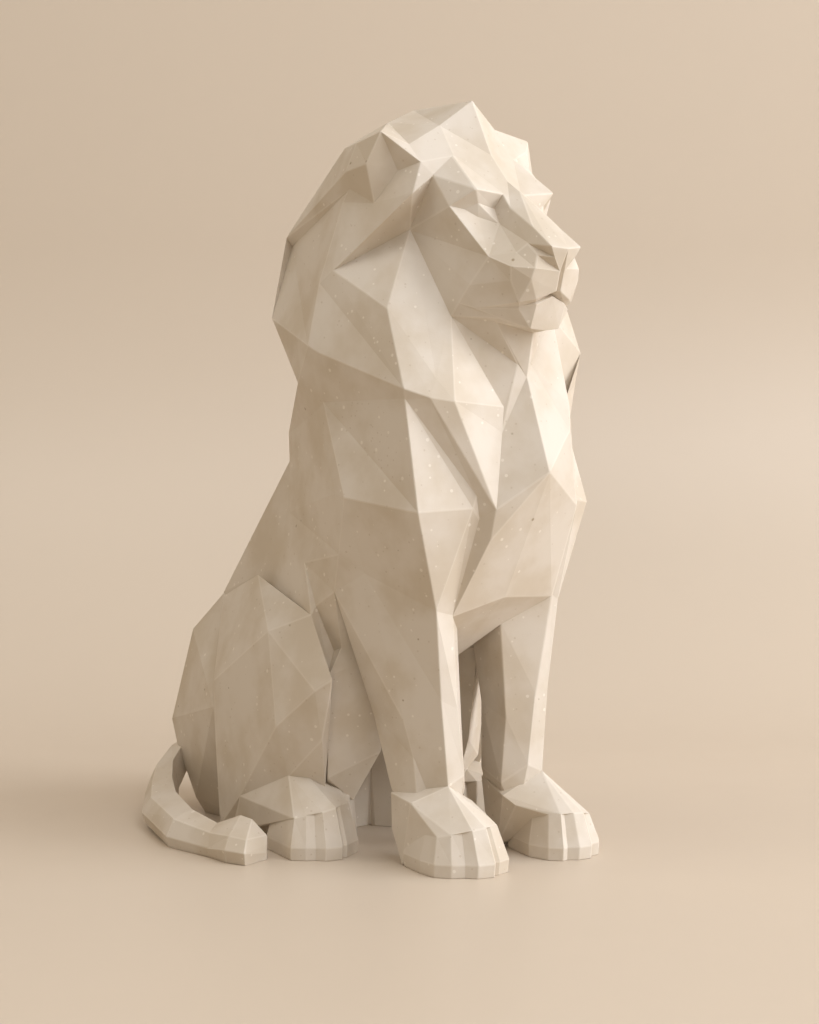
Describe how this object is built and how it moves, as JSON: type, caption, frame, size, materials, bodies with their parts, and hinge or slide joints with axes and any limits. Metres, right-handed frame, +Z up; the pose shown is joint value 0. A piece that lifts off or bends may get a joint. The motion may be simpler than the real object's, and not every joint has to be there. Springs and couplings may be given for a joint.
{
  "type": "lion sculpture",
  "caption": "Seated lion statue with a faceted mane, straight forelegs and the tail laid round its right side, cast in one piece to stand on its own paws.",
  "frame": {"origin": "middle of the underside of the lion's bounding box, on the surface it stands on", "axes": "+Z up, along the height; the lion looks along -Y and its right side, where the tail lies, is on -X"},
  "size_m": [0.1996, 0.298, 0.4],
  "materials": {
    "stone": "honed cast stone, matt, with fine specks and pits"
  },
  "bodies": {
    "root": {"lion": "stone"}
  },
  "joints": []
}
